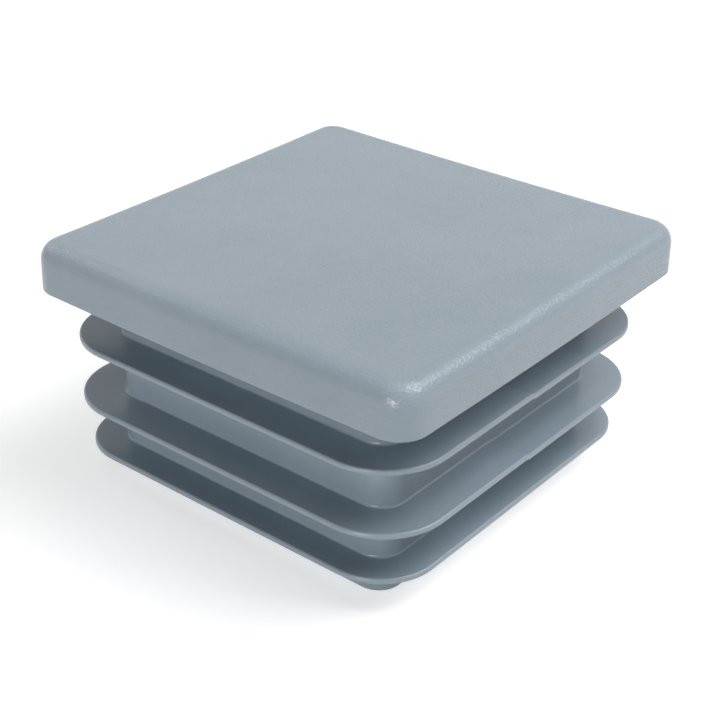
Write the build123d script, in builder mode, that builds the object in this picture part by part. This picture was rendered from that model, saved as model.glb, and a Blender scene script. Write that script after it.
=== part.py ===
"""Ribbed end cap for square tube: a one-piece moulding.

A square head covers the end of the tube. A hollow square plug below it carries three thin fins, which
flex against the inside of the tube and hold the cap in.

Units are millimetres. The origin is the centre of the head's underside, the face that seats on the cut
end of the tube. +Z points out through the head, and the plug hangs along -Z.
"""

from build123d import *
import os

# The tube, and the head that covers its end
tube_width = 50.0
head_thickness = 5.4
head_corner_radius = 3.2
head_edge_radius = 2.0
head_draft = 1.2  # degrees, narrowing towards the top face

# The plug's hollow core
core_width = 37.8
core_corner_radius = 2.8
plug_depth = 23.0
foot_chamfer = 0.4
wall_thickness = 1.9
cavity_draft = 0.5  # degrees, opening towards the mouth
roof_thickness = 3.0
roof_fillet_radius = 0.5
gate_radius = 1.2
gate_height = 0.3

# The fins, measured from the head's underside and from the core's wall
first_fin_depth = 5.3
fin_pitch = 7.25
last_fin_pitch = 5.95
fin_reach = 4.75
last_fin_reach = 3.85
fin_root_thickness = 1.0
fin_rim_thickness = 0.58
fin_rise = 0.25
fin_rim_radius = 0.25
fin_root_chamfer = 0.25

# Worked out from the sizes above
core_face = core_width / 2
skin_depth = core_corner_radius / 2
second_fin_depth = first_fin_depth + fin_pitch
last_fin_depth = second_fin_depth + last_fin_pitch
cavity_width = core_width - 2 * wall_thickness
cavity_corner_radius = core_corner_radius - wall_thickness
roof_height = head_thickness - roof_thickness


def fin_corners(depth, reach):
    """The four corners of one fin's section, from its upper root round its rim to its lower root."""
    upper_root = -depth - fin_rise
    return [
        (core_face, upper_root),
        (core_face + reach, -depth),
        (core_face + reach, -depth - fin_rim_thickness),
        (core_face, upper_root - fin_root_thickness),
    ]


def corner_at(section, point):
    """The corner of a section that lies nearest the given point of the section's own plane."""
    return section.vertices().sort_by_distance(Vector(*point))[0]


fins = [
    fin_corners(first_fin_depth, fin_reach),
    fin_corners(second_fin_depth, fin_reach),
    fin_corners(last_fin_depth, last_fin_reach),
]

# The skin is the plug's outside as one section: the core's wall, its three fins and the foot.
foot_corner = (core_face, -plug_depth)
skin_outline = [(core_face - skin_depth, 0), (core_face, 0)]
for fin in fins:
    skin_outline += fin
skin_outline += [foot_corner, (core_face - skin_depth, -plug_depth)]

with BuildSketch(Plane.XZ) as skin_section:
    with BuildLine():
        Polyline(*skin_outline, close=True)
    make_face()
    # Each fin's rim is soft above and crisp below, where the mould parts, and its roots are thickened
    for fin in fins:
        upper_root, upper_rim, _, lower_root = fin
        fillet(corner_at(skin_section, upper_rim), fin_rim_radius)
        chamfer(corner_at(skin_section, upper_root), fin_root_chamfer)
        chamfer(corner_at(skin_section, lower_root), fin_root_chamfer)
    chamfer(corner_at(skin_section, foot_corner), foot_chamfer)

with BuildSketch() as core_outline:
    RectangleRounded(core_width, core_width, core_corner_radius)

with BuildPart() as end_cap:
    # The head, with a sharp edge below where it meets the tube and a soft one above
    with BuildSketch():
        RectangleRounded(tube_width, tube_width, head_corner_radius)
    extrude(amount=head_thickness, taper=head_draft)
    top_face = end_cap.faces().sort_by(Axis.Z)[-1]
    fillet(top_face.edges(), head_edge_radius)

    # The core's block, a little inside its outer face, and the finned skin wrapped round it
    with BuildSketch() as block:
        add(core_outline.sketch)
        offset(amount=-skin_depth / 2, mode=Mode.REPLACE)
    extrude(amount=-plug_depth)
    sweep(sections=skin_section.sketch, path=core_outline.face().outer_wire())

    # The cavity, open at the foot and running up into the head
    with BuildSketch(Plane.XY.offset(-plug_depth)):
        RectangleRounded(cavity_width, cavity_width, cavity_corner_radius)
    extrude(amount=plug_depth + roof_height, taper=cavity_draft, mode=Mode.SUBTRACT)
    roof = end_cap.faces().filter_by(Plane.XY).filter_by_position(
        Axis.Z, roof_height - 0.01, roof_height + 0.01
    )
    fillet(roof.edges(), roof_fillet_radius)

    # The gate's mark, under the roof
    with BuildSketch(Plane.XY.offset(roof_height)):
        Circle(gate_radius)
    extrude(amount=-gate_height)

end_cap.part.label = "end_cap"

os.makedirs("parts", exist_ok=True)
export_step(end_cap.part, "parts/end_cap.step")
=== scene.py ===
"""The looks of a ribbed end cap for square tube, moulded in one piece from grey LDPE.

The cap is rebuilt as one closed, finely rounded mesh in the frame of its CAD solid. It stands on the
rim of its hollow plug, on a plain pale floor in soft studio light. Its sections are drawn in
millimetres, and the finished mesh is turned to metres once.
"""

import logging
import math
from dataclasses import dataclass, field
from enum import Enum

import bmesh
import bpy
from bmesh.types import BMEdge, BMesh, BMVert
from mathutils import Matrix, Vector


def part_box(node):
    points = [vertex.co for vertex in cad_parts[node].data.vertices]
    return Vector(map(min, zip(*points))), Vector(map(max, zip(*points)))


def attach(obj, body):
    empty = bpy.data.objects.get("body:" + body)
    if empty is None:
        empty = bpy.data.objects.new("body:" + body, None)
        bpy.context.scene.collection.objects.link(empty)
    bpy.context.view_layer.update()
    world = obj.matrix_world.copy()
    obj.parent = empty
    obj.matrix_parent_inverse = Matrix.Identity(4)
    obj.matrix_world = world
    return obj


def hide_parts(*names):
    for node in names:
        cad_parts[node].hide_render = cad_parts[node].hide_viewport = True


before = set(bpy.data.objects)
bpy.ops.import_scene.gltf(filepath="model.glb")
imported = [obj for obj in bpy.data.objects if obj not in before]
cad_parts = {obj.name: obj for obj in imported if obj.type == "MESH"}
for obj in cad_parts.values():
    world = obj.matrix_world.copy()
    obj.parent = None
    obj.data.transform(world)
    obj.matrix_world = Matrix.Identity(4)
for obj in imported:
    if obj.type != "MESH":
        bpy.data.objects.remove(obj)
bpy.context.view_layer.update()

log = logging.getLogger("end_cap")

MM = 0.001
CAD_NODE = "end_cap"
BODY = "root"
UP = Vector((0, 0, 1))
MERGE = 1e-4  # mm, how near two corners lie when they are one
MIX_FIRST, MIX_SECOND, MIX_COLOUR = 6, 7, 2  # the colour sockets of Blender's Mix node


def linear(hex_colour: str) -> tuple[float, float, float, float]:
    """Turns an sRGB hex colour into the linear values that the shaders want.

    Args:
        hex_colour: six hex digits after a hash, as a colour picker gives them.

    Returns:
        Linear red, green and blue, and an alpha of 1.
    """
    channels = [int(hex_colour[i : i + 2], 16) / 255 for i in (1, 3, 5)]
    return (*[c / 12.92 if c <= 0.04045 else ((c + 0.055) / 1.055) ** 2.4 for c in channels], 1.0)


def add_node(
    tree: bpy.types.NodeTree,
    kind: str,
    settings: dict[str, object] | None = None,
    values: dict[str | int, object] | None = None,
    links: dict[str | int, bpy.types.NodeSocket] | None = None,
) -> bpy.types.Node:
    """Adds one shader node with its settings, its constants and its incoming links.

    Args:
        tree: the node tree that gets the node.
        kind: Blender's name for the node's type.
        settings: attributes of the node itself.
        values: constants, by the name or number of the input socket.
        links: output sockets of other nodes, by the name or number of the input socket.

    Returns:
        The new node.
    """
    node = tree.nodes.new(kind)
    for name, value in (settings or {}).items():
        setattr(node, name, value)
    for name, value in (values or {}).items():
        node.inputs[name].default_value = value
    for name, source in (links or {}).items():
        tree.links.new(source, node.inputs[name])
    return node


def new_material(name: str) -> bpy.types.Material:
    """Makes a node material with no nodes in it yet.

    Args:
        name: what the material is and how it was made.

    Returns:
        The new material.
    """
    material = bpy.data.materials.new(name)
    material.use_nodes = True
    material.node_tree.nodes.clear()
    return material


def background_rays(tree: bpy.types.NodeTree) -> bpy.types.NodeSocket:
    """Picks out the rays that show the background, and not those that light the cap.

    Args:
        tree: the node tree that gets the nodes.

    Returns:
        A socket that is 1 for the camera's rays and those that gloss or glass send on, and else 0.
    """
    path = add_node(tree, "ShaderNodeLightPath").outputs
    shown = path["Is Camera Ray"]
    for kind in ("Is Glossy Ray", "Is Transmission Ray"):
        either = add_node(
            tree, "ShaderNodeMath", settings={"operation": "MAXIMUM"}, links={0: shown, 1: path[kind]}
        )
        shown = either.outputs[0]
    return shown


def mesh_data(name: str, mesh: BMesh, material: bpy.types.Material) -> bpy.types.Mesh:
    """Turns a finished bmesh into dressed mesh data, and frees it.

    Args:
        name: of the mesh data.
        mesh: the finished bmesh.
        material: what it is made of.

    Returns:
        The mesh data.
    """
    data = bpy.data.meshes.new(name)
    mesh.to_mesh(data)
    mesh.free()
    data.materials.append(material)
    return data


def add_object(name: str, data: bpy.types.ID) -> bpy.types.Object:
    """Makes an object and links it to the scene.

    Args:
        name: of the object.
        data: its mesh, lamp or camera data.

    Returns:
        The new object.
    """
    thing = bpy.data.objects.new(name, data)
    bpy.context.scene.collection.objects.link(thing)
    return thing


@dataclass(frozen=True)
class MouldedLdpe:
    """Low-density polyethylene, coloured grey and moulded against a spark-eroded tool.

    It gives the eye a soft, waxy, half-matt plastic: a fine even grain, broad dull reflections that
    break into specks where they are brightest, and faint clouds where the colour is not quite mixed.
    The tool's slides, which form the plug, are smoother than the plate that forms the head.
    """

    colour: str = "#9EABB7"
    cloud_colour: str = "#8D9DA6"
    ior: float = 1.51
    roughness: float = 0.25
    grain_pitch: float = 0.28  # mm, a real 0.1 mm grain drawn as coarse as it needs to be to show
    grain_depth: float = 0.068  # mm
    plug_grain: float = 0.4  # share of the grain's depth that shows below the head
    head_blend: float = 0.3  # mm, above and below the head's underside, in which the grain changes
    cloud_pitch: float = 12.0  # mm

    def build(self) -> bpy.types.Material:
        """Builds the material's nodes.

        Returns:
            The finished material.
        """
        material = new_material("moulded_ldpe_spark_eroded")
        tree = material.node_tree
        place = add_node(tree, "ShaderNodeTexCoord").outputs["Object"]
        clouds = add_node(
            tree,
            "ShaderNodeTexNoise",
            values={"Scale": 1 / (self.cloud_pitch * MM), "Detail": 3.0, "Roughness": 0.6},
            links={"Vector": place},
        )
        colour = add_node(
            tree,
            "ShaderNodeMix",
            settings={"data_type": "RGBA"},
            values={MIX_FIRST: linear(self.colour), MIX_SECOND: linear(self.cloud_colour)},
            links={"Factor": clouds.outputs["Fac"]},
        )
        grain = add_node(
            tree,
            "ShaderNodeTexNoise",
            values={"Scale": 1 / (self.grain_pitch * MM), "Detail": 1.0, "Roughness": 0.6},
            links={"Vector": place},
        )
        bump = add_node(
            tree,
            "ShaderNodeBump",
            values={"Distance": self.grain_depth * MM},
            links={"Height": grain.outputs["Fac"], "Strength": self._grain_strength(tree, place)},
        )
        shader = add_node(
            tree,
            "ShaderNodeBsdfPrincipled",
            values={"Roughness": self.roughness, "IOR": self.ior},
            links={"Base Color": colour.outputs[MIX_COLOUR], "Normal": bump.outputs["Normal"]},
        )
        add_node(tree, "ShaderNodeOutputMaterial", links={"Surface": shader.outputs["BSDF"]})
        return material

    def _grain_strength(
        self, tree: bpy.types.NodeTree, place: bpy.types.NodeSocket
    ) -> bpy.types.NodeSocket:
        """Gives the head the whole grain and the plug its smaller share.

        Args:
            tree: the material's node tree.
            place: the socket with the object's own coordinates.

        Returns:
            The socket with the grain's strength.
        """
        height = add_node(tree, "ShaderNodeSeparateXYZ", links={"Vector": place}).outputs["Z"]
        strength = add_node(
            tree,
            "ShaderNodeMapRange",
            values={
                "From Min": -self.head_blend * MM,
                "From Max": self.head_blend * MM,
                "To Min": self.plug_grain,
                "To Max": 1.0,
            },
            links={"Value": height},
        )
        return strength.outputs["Result"]


@dataclass(frozen=True)
class BackgroundPaper:
    """Matt white background paper, which the camera sees as plain white save where the cap shades it.

    Attributes:
        colour: of the paper itself.
        lift: what the camera sees of it beyond the lamps' light, under the cap.
        near: how far from the cap, in millimetres, that begins to rise to plain white.
        far: how far from the cap, in millimetres, it is plain white.
    """

    colour: str = "#E2E2E2"
    lift: float = 0.6
    near: float = 60
    far: float = 320

    def build(self) -> bpy.types.Material:
        """Builds the material's nodes.

        Returns:
            The finished material.
        """
        material = new_material("background_paper_matt_white")
        tree = material.node_tree
        paper = add_node(tree, "ShaderNodeBsdfDiffuse", values={"Color": linear(self.colour)})
        away = add_node(
            tree,
            "ShaderNodeVectorMath",
            settings={"operation": "LENGTH"},
            links={0: add_node(tree, "ShaderNodeTexCoord").outputs["Object"]},
        )
        fade = add_node(
            tree,
            "ShaderNodeMapRange",
            settings={"interpolation_type": "SMOOTHSTEP"},
            values={
                "From Min": self.near * MM,
                "From Max": self.far * MM,
                "To Min": self.lift,
                "To Max": 1.0,
            },
            links={"Value": away.outputs["Value"]},
        )
        seen = add_node(
            tree,
            "ShaderNodeMath",
            settings={"operation": "MULTIPLY"},
            links={0: background_rays(tree), 1: fade.outputs["Result"]},
        )
        glow = add_node(tree, "ShaderNodeEmission", links={"Strength": seen.outputs[0]})
        both = add_node(
            tree, "ShaderNodeAddShader", links={0: paper.outputs[0], 1: glow.outputs[0]}
        )
        add_node(tree, "ShaderNodeOutputMaterial", links={"Surface": both.outputs[0]})
        return material


class Rounding(Enum):
    """How a corner of the section is rounded, with the straight pieces that make it."""

    CRISP = 3
    HOLLOW = 5
    SOFT = 7
    BROAD = 14


@dataclass
class Section:
    """A section of the cap, drawn corner by corner in the XZ plane and swept round the cap.

    Attributes:
        corner_centre: how far from the cap's middle, along X and along Y, the sweep's corners turn.
        longest_piece: the longest straight piece that the section keeps.
    """

    corner_centre: float
    longest_piece: float = 1.0
    mesh: BMesh = field(default_factory=bmesh.new)
    last: BMVert | None = None
    roundings: list[tuple[BMVert, float, Rounding]] = field(default_factory=list)

    def line_to(
        self, out: float, up: float, radius: float = 0, rounding: Rounding = Rounding.CRISP
    ) -> None:
        """Adds one corner of the section and joins it to the one before.

        Args:
            out: distance from the cap's middle plane.
            up: height above the head's underside.
            radius: how far from the corner its rounding begins, or 0 for none.
            rounding: what kind of rounding it is.
        """
        corner = self.mesh.verts.new((out, 0.0, up))
        if self.last is not None:
            self.mesh.edges.new((self.last, corner))
        if radius:
            self.roundings.append((corner, radius, rounding))
        self.last = corner

    def sweep(self, side_steps: int, corner_steps: int) -> BMesh:
        """Rounds the section's corners and sweeps it once round the cap's rounded square.

        Args:
            side_steps: pieces along each half of a side.
            corner_steps: pieces round each corner.

        Returns:
            The swept mesh, open where the section is open.
        """
        self._round_corners()
        self._divide_straights()
        step = self.corner_centre / side_steps
        front = self._extrude(list(self.mesh.edges), Vector((0, step, 0)), side_steps)
        turned = bmesh.ops.spin(
            self.mesh,
            geom=front,
            cent=(self.corner_centre, self.corner_centre, 0),
            axis=UP,
            angle=math.radians(90),
            steps=corner_steps,
            use_merge=False,
        )
        front = [g for g in turned["geom_last"] if isinstance(g, BMEdge)]
        self._extrude(front, Vector((-step, 0, 0)), side_steps)
        self._repeat_round_cap()
        return self.mesh

    def _round_corners(self) -> None:
        """Rounds each corner that was given a radius."""
        for corner, radius, rounding in self.roundings:
            bmesh.ops.bevel(
                self.mesh,
                geom=[corner],
                offset=radius,
                offset_type="OFFSET",
                segments=rounding.value,
                profile=0.5,
                affect="VERTICES",
                material=-1,
            )

    def _divide_straights(self) -> None:
        """Divides the long straights, so that their shading stays flat up to the roundings."""
        for edge in list(self.mesh.edges):
            cuts = math.ceil(edge.calc_length() / self.longest_piece) - 1
            if cuts > 0:
                bmesh.ops.subdivide_edges(self.mesh, edges=[edge], cuts=cuts)

    def _extrude(self, front: list[BMEdge], step: Vector, steps: int) -> list[BMEdge]:
        """Extrudes a row of edges by equal steps.

        Args:
            front: the edges to start from.
            step: how far each step goes.
            steps: how many there are.

        Returns:
            The row of edges in its last place.
        """
        for _ in range(steps):
            grown = bmesh.ops.extrude_edge_only(self.mesh, edges=front)["geom"]
            front = [g for g in grown if isinstance(g, BMEdge)]
            moved = [g for g in grown if isinstance(g, BMVert)]
            bmesh.ops.translate(self.mesh, vec=step, verts=moved)
        return front

    def _repeat_round_cap(self) -> None:
        """Repeats the swept quarter for the cap's other three corners and joins them."""
        quarter = [*self.mesh.verts, *self.mesh.edges, *self.mesh.faces]
        for turn in (90, 180, 270):
            copy = bmesh.ops.duplicate(self.mesh, geom=quarter)["geom"]
            bmesh.ops.rotate(
                self.mesh,
                matrix=Matrix.Rotation(math.radians(turn), 3, UP),
                verts=[g for g in copy if isinstance(g, BMVert)],
            )
        bmesh.ops.remove_doubles(self.mesh, verts=list(self.mesh.verts), dist=MERGE)


@dataclass(frozen=True)
class Head:
    """The flat square head, soft along its upper edges and crisp where it meets the tube.

    Attributes:
        width: across its sides, at the underside.
        thickness: from the underside to the top face.
        corner_radius: of its upright corners, at the underside.
        edge_radius: of the soft upper edge.
        crisp_radius: of the lower edge.
        draft: how far its sides lean in, in degrees.
        underside_ledge: the part of the underside that is swept with the sides.
        top_ledge: the part of the top face that is swept with the sides, beyond the soft edge.
    """

    width: float
    thickness: float
    corner_radius: float = 3.2
    edge_radius: float = 2.0
    crisp_radius: float = 0.12
    draft: float = 1.2
    underside_ledge: float = 0.7
    top_ledge: float = 0.8

    @property
    def top_side(self) -> float:
        """Distance of the side from the cap's middle, where it would meet the top face."""
        return self.width / 2 - self.thickness * math.tan(math.radians(self.draft))

    def build(self, side_steps: int, corner_steps: int) -> BMesh:
        """Sweeps the head's side and upper edge round the cap.

        Args:
            side_steps: pieces along each half of a side.
            corner_steps: pieces round each corner.

        Returns:
            The head, still open underneath and on top.
        """
        side = self.width / 2
        section = Section(side - self.corner_radius)
        section.line_to(self.top_side - self.edge_radius - self.top_ledge, self.thickness)
        section.line_to(self.top_side, self.thickness, self.edge_radius, Rounding.BROAD)
        section.line_to(side, 0, self.crisp_radius, Rounding.CRISP)
        section.line_to(side - self.underside_ledge, 0)
        return section.sweep(side_steps, corner_steps)


@dataclass(frozen=True)
class Fin:
    """One thin fin of the plug, which rises a little towards its rim.

    Attributes:
        depth: of its upper rim, below the head's underside.
        reach: of its rim from the core's wall.
        rise: of its upper flank, from root to rim.
        rim: thickness at the rim.
        root: thickness at the root.
        soft_radius: of the rim's upper edge.
        crisp_radius: of the rim's lower edge, where the mould parts.
        root_radius: of the hollows in which its flanks meet the wall.
        slip: how far its back half sits below its front half.
    """

    depth: float
    reach: float
    rise: float = 0.25
    rim: float = 0.58
    root: float = 1.0
    soft_radius: float = 0.28
    crisp_radius: float = 0.05
    root_radius: float = 0.3
    slip: float = 0.0

    def draw(self, section: Section, wall: float) -> None:
        """Draws the fin as part of the plug's section, from its upper root to its lower one.

        Args:
            section: the plug's section.
            wall: distance of the core's wall from the cap's middle.
        """
        edge = wall + self.reach
        upper_root = -self.depth - self.rise
        section.line_to(wall, upper_root, self.root_radius, Rounding.HOLLOW)
        section.line_to(edge, -self.depth, self.soft_radius, Rounding.SOFT)
        section.line_to(edge, -self.depth - self.rim, self.crisp_radius, Rounding.CRISP)
        section.line_to(wall, upper_root - self.root, self.root_radius, Rounding.HOLLOW)

    def holds(self, height: float) -> bool:
        """Tells whether a height lies within the fin and its hollows."""
        margin = 2 * self.root_radius
        return -self.depth - self.rise - self.root - margin < height < -self.depth + margin


@dataclass(frozen=True)
class Plug:
    """The hollow square plug, with its fins outside and its cavity open at the foot.

    Attributes:
        depth: from the head's underside to the foot.
        core_width: across the core's outer walls.
        core_corner_radius: of the core's upright corners.
        wall: thickness of the core's wall at the foot.
        foot_radius: of the foot's outer edge.
        foot_inner_radius: of the cavity's mouth.
        roof_height: of the cavity's roof, above the head's underside.
        roof_radius: of the hollow round the roof.
        roof_ledge: the part of the roof that is swept with the hollow.
        cavity_draft: how far the cavity opens towards its mouth, in degrees.
        offset: how far it sits from under the head's middle, where the mould's halves met unevenly.
        fins: its fins, from the head down.
        parting: where along Y the mould's two slides meet, which form the fins.
        parting_width: of the step that they leave in a fin.
    """

    depth: float
    core_width: float = 37.73
    core_corner_radius: float = 2.8
    wall: float = 1.9
    foot_radius: float = 0.4
    foot_inner_radius: float = 0.12
    roof_height: float = 2.4
    roof_radius: float = 0.5
    roof_ledge: float = 0.05
    cavity_draft: float = 0.5
    offset: tuple[float, float] = (-0.13, -0.25)
    fins: tuple[Fin, ...] = (
        Fin(5.3, 4.75, slip=0.16),
        Fin(12.55, 4.75, slip=0.16),
        Fin(18.5, 3.87),
    )
    parting: float = -0.8
    parting_width: float = 0.3

    def build(self, side_steps: int, corner_steps: int) -> BMesh:
        """Sweeps the plug's wall, fins, foot and cavity round the cap.

        Args:
            side_steps: pieces along each half of a side.
            corner_steps: pieces round each corner.

        Returns:
            The plug, still open where it meets the head and in the middle of the cavity's roof.
        """
        side = self.core_width / 2
        mouth = side - self.wall
        roof_side = mouth - (self.depth + self.roof_height) * math.tan(
            math.radians(self.cavity_draft)
        )
        section = Section(side - self.core_corner_radius)
        section.line_to(side, 0)
        for fin in self.fins:
            fin.draw(section, side)
        section.line_to(side, -self.depth, self.foot_radius, Rounding.SOFT)
        section.line_to(mouth, -self.depth, self.foot_inner_radius, Rounding.CRISP)
        section.line_to(roof_side, self.roof_height, self.roof_radius, Rounding.HOLLOW)
        section.line_to(roof_side - self.roof_radius - self.roof_ledge, self.roof_height)
        mesh = section.sweep(side_steps, corner_steps)
        self._slip_fins(mesh)
        bmesh.ops.translate(mesh, vec=(*self.offset, 0), verts=list(mesh.verts))
        return mesh

    def _slip_fins(self, mesh: BMesh) -> None:
        """Lowers the back half of each fin by its slip, with a short slope at the parting.

        Args:
            mesh: the swept plug.
        """
        for edge in (self.parting - self.parting_width / 2, self.parting + self.parting_width / 2):
            bmesh.ops.bisect_plane(
                mesh,
                geom=[*mesh.verts, *mesh.edges, *mesh.faces],
                dist=MERGE,
                plane_co=(0, edge, 0),
                plane_no=(0, 1, 0),
            )
        for fin in self.fins:
            for vert in mesh.verts:
                if vert.co.y > self.parting and fin.holds(vert.co.z):
                    vert.co.z -= fin.slip


@dataclass
class EndCap:
    """The whole cap: one closed moulding of a head and a hollow, finned plug.

    Attributes:
        head: the square head.
        plug: the plug under it.
        finish: the plastic that it is moulded in.
        side_steps: pieces along each half of a side.
        corner_steps: pieces round each corner.
        gate_radius: of the mark that the gate leaves under the roof.
        gate_height: of that mark.
        top_ring: width of the rings that the top face is divided into.
        sag: how far the head's middle has sunk below its corners as the cap cooled.
        sharp_angle: from how many degrees on an edge is shaded as sharp.
    """

    head: Head
    plug: Plug
    finish: MouldedLdpe
    side_steps: int = 16
    corner_steps: int = 16
    gate_radius: float = 1.2
    gate_height: float = 0.3
    top_ring: float = 1.5
    sag: float = 0.19
    sharp_angle: float = 50

    def build(self) -> bpy.types.Object:
        """Builds the cap as one closed mesh.

        Returns:
            The object that stands for the cap's CAD node.
        """
        mesh = self._joined(
            self.head.build(self.side_steps, self.corner_steps),
            self.plug.build(self.side_steps, self.corner_steps),
        )
        self._close_underside(mesh)
        self._close_top(mesh)
        self._close_roof(mesh)
        self._sink_head(mesh)
        bmesh.ops.recalc_face_normals(mesh, faces=list(mesh.faces))
        bmesh.ops.scale(mesh, vec=(MM, MM, MM), verts=list(mesh.verts))
        return self._finished(mesh)

    def _joined(self, *parts: BMesh) -> BMesh:
        """Joins swept parts into one mesh, and frees them.

        Args:
            parts: the parts' meshes.

        Returns:
            The joined mesh.
        """
        whole = bmesh.new()
        for part in parts:
            carrier = bpy.data.meshes.new("part")
            part.to_mesh(carrier)
            part.free()
            whole.from_mesh(carrier)
            bpy.data.meshes.remove(carrier)
        return whole

    def _rim(self, mesh: BMesh, height: float) -> list[BMEdge]:
        """Finds the edges of the mesh's openings that lie at one height."""
        return [
            edge
            for edge in mesh.edges
            if edge.is_boundary and all(abs(v.co.z - height) < MERGE for v in edge.verts)
        ]

    def _close_underside(self, mesh: BMesh) -> None:
        """Closes the head's underside, from its ledge to the top of the core's wall."""
        bmesh.ops.triangle_fill(mesh, edges=self._rim(mesh, 0), use_beauty=True, normal=UP)

    def _close_top(self, mesh: BMesh) -> None:
        """Closes the head's top face with rings that shrink towards its middle.

        Args:
            mesh: the cap, open on top.
        """
        rim = self._rim(mesh, self.head.thickness)
        half_width = max(v.co.x for edge in rim for v in edge.verts)
        rings = int(half_width / self.top_ring)
        for ring in range(rings, 1, -1):
            grown = bmesh.ops.extrude_edge_only(mesh, edges=rim)["geom"]
            rim = [g for g in grown if isinstance(g, BMEdge)]
            share = (ring - 1) / ring
            inner = [g for g in grown if isinstance(g, BMVert)]
            bmesh.ops.scale(mesh, vec=(share, share, 1), verts=inner)
        bmesh.ops.edgeloop_fill(mesh, edges=rim)

    def _close_roof(self, mesh: BMesh) -> None:
        """Closes the cavity's roof, with the gate's mark in its middle.

        Args:
            mesh: the cap, open in the roof's middle.
        """
        rim = self._rim(mesh, self.plug.roof_height)
        circle = bmesh.ops.create_circle(
            mesh,
            radius=self.gate_radius,
            segments=len(rim),
            matrix=Matrix.Translation((*self.plug.offset, self.plug.roof_height)),
        )
        mark = list(dict.fromkeys(edge for v in circle["verts"] for edge in v.link_edges))
        bmesh.ops.triangle_fill(mesh, edges=rim + mark, use_beauty=True, normal=UP)
        grown = bmesh.ops.extrude_edge_only(mesh, edges=mark)["geom"]
        lowered = [g for g in grown if isinstance(g, BMVert)]
        bmesh.ops.translate(mesh, vec=(0, 0, -self.gate_height), verts=lowered)
        bmesh.ops.edgeloop_fill(mesh, edges=[g for g in grown if isinstance(g, BMEdge)])

    def _sink_head(self, mesh: BMesh) -> None:
        """Lets the head sink between its corners, which keep their height.

        Args:
            mesh: the closed cap.
        """
        half_width = self.head.width / 2
        for vert in mesh.verts:
            if vert.co.z > -MERGE:
                nearness = (vert.co.x * vert.co.y / half_width**2) ** 2
                vert.co.z -= self.sag * (1 - nearness)

    def _finished(self, mesh: BMesh) -> bpy.types.Object:
        """Turns the mesh into the cap's object, dresses it and ties it to the frame.

        Args:
            mesh: the closed cap, in metres.

        Returns:
            The finished object.
        """
        data = mesh_data("end_cap_moulding", mesh, self.finish.build())
        data.shade_smooth()
        data.set_sharp_from_angle(angle=math.radians(self.sharp_angle))
        cap = add_object("end_cap_moulding", data)
        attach(cap, BODY)
        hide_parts(CAD_NODE)
        return cap


def placed(azimuth: float, elevation: float, distance: float, roll: float = 0) -> Matrix:
    """Places something on a sphere round the cap, facing it.

    Args:
        azimuth: degrees round the cap from its front, anticlockwise seen from above.
        elevation: degrees above the horizon.
        distance: millimetres from the cap's origin.
        roll: degrees about the line of sight.

    Returns:
        The world matrix of a lamp or a camera there.
    """
    return (
        Matrix.Rotation(math.radians(azimuth), 4, "Z")
        @ Matrix.Rotation(math.radians(90 - elevation), 4, "X")
        @ Matrix.Rotation(math.radians(roll), 4, "Z")
        @ Matrix.Translation((0, 0, distance * MM))
    )


@dataclass(frozen=True)
class Softbox:
    """A square, evenly lit diffuser that faces the cap.

    Attributes:
        name: what it does for the picture.
        azimuth: degrees round the cap from its front.
        elevation: degrees above the horizon.
        radiance: its brightness, where 1 is white.
        size: of its side, in millimetres.
        distance: from the cap, in millimetres.
    """

    name: str
    azimuth: float
    elevation: float
    radiance: float
    size: float
    distance: float = 500

    def build(self) -> bpy.types.Object:
        """Builds the lamp.

        Returns:
            The lamp's object, in its place and facing the cap.
        """
        data = bpy.data.lights.new(self.name, "AREA")
        data.shape = "SQUARE"
        data.size = self.size * MM
        data.energy = self.radiance * math.pi * data.size**2
        lamp = add_object(self.name, data)
        lamp.matrix_world = placed(self.azimuth, self.elevation, self.distance)
        return lamp


LAMPS = (
    Softbox("top_softbox", 0, 90, 0.76, size=500),
    Softbox("right_softbox", 128, 54, 4.8, size=380),
    Softbox("left_softbox", 272, 32, 1.6, size=200),
    Softbox("front_low_softbox", 14, 3, 12.9, size=180),
)


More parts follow.
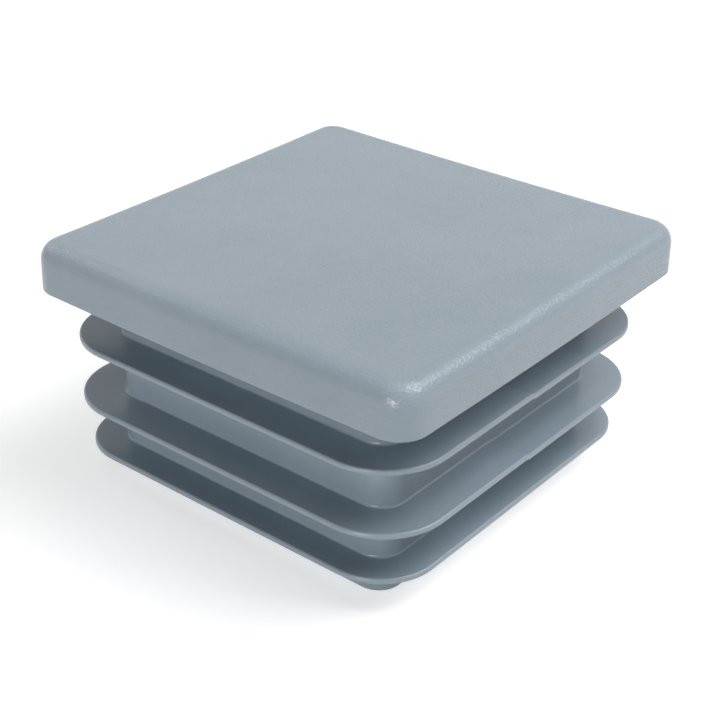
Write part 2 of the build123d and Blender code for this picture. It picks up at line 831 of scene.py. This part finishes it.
@dataclass(frozen=True)
class Studio:
    """The plain room round the cap: a pale floor, soft lamps and a surround that adds no light."""

    floor_height: float
    floor_size: float = 6000
    paper: BackgroundPaper = BackgroundPaper()
    lamps: tuple[Softbox, ...] = LAMPS

    def build(self) -> None:
        """Builds the floor, the lamps and the surround."""
        self._build_floor()
        self._build_surround()
        for lamp in self.lamps:
            lamp.build()
            log.info("lamp %s", lamp.name)

    def _build_floor(self) -> None:
        """Lays the floor under the cap's foot."""
        mesh = bmesh.new()
        bmesh.ops.create_grid(mesh, x_segments=1, y_segments=1, size=self.floor_size / 2 * MM)
        bmesh.ops.translate(mesh, vec=(0, 0, self.floor_height * MM), verts=list(mesh.verts))
        add_object("floor", mesh_data("floor", mesh, self.paper.build()))

    def _build_surround(self) -> None:
        """Hangs plain white round the room, which is seen and mirrored but lights nothing."""
        world = bpy.data.worlds.new("white_room")
        bpy.context.scene.world = world
        world.use_nodes = True
        tree = world.node_tree
        tree.nodes.clear()
        glow = add_node(
            tree,
            "ShaderNodeBackground",
            values={"Color": linear("#FFFFFF")},
            links={"Strength": background_rays(tree)},
        )
        add_node(tree, "ShaderNodeOutputWorld", links={"Surface": glow.outputs[0]})


@dataclass(frozen=True)
class StillCamera:
    """The camera, as it stood in front of the cap's near corner.

    Attributes:
        azimuth: degrees round the cap from its front.
        elevation: degrees above the horizon.
        roll: degrees about the line of sight.
        distance: from the point it aims at, in millimetres.
        aim_right: of that point from the cap's origin, along the picture.
        aim_up: of that point from the cap's origin, up the picture.
        lens: focal length in millimetres.
        sensor_width: of the camera's sensor, in millimetres.
        nearest: what lies nearer than this isn't seen, in millimetres.
        shift_right: pixels by which the frame lies to the right of the line of sight.
        shift_up: pixels by which it lies above the line of sight.
        frame_pixels: width of the picture.
    """

    azimuth: float = 39.672
    elevation: float = 28.960
    roll: float = 0.488
    distance: float = 164.11
    aim_right: float = -4.312
    aim_up: float = -9.119
    lens: float = 75.74
    sensor_width: float = 36
    nearest: float = 10
    shift_right: float = 39.5
    shift_up: float = 0.5
    frame_pixels: float = 720

    def build(self) -> None:
        """Builds the camera and makes it the scene's own."""
        data = bpy.data.cameras.new("still_camera")
        data.sensor_width = self.sensor_width
        data.lens = self.lens
        data.shift_x = self.shift_right / self.frame_pixels
        data.shift_y = self.shift_up / self.frame_pixels
        data.clip_start = self.nearest * MM
        camera = add_object("still_camera", data)
        aim = Matrix.Translation((self.aim_right * MM, self.aim_up * MM, self.distance * MM))
        camera.matrix_world = placed(self.azimuth, self.elevation, 0, self.roll) @ aim
        bpy.context.scene.camera = camera


def main() -> None:
    """Builds the cap, the studio and the camera, and reports each piece."""
    logging.basicConfig(level=logging.INFO, format="%(name)s: %(message)s")
    low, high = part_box(CAD_NODE)
    head = Head(width=(high.x - low.x) / MM, thickness=high.z / MM)
    plug = Plug(depth=-low.z / MM)
    cap = EndCap(head, plug, MouldedLdpe()).build()
    log.info("piece %s: %d faces", cap.name, len(cap.data.polygons))
    Studio(floor_height=low.z / MM).build()
    StillCamera().build()
    bpy.context.scene.view_settings.view_transform = "Standard"


if __name__ == "__main__":
    main()
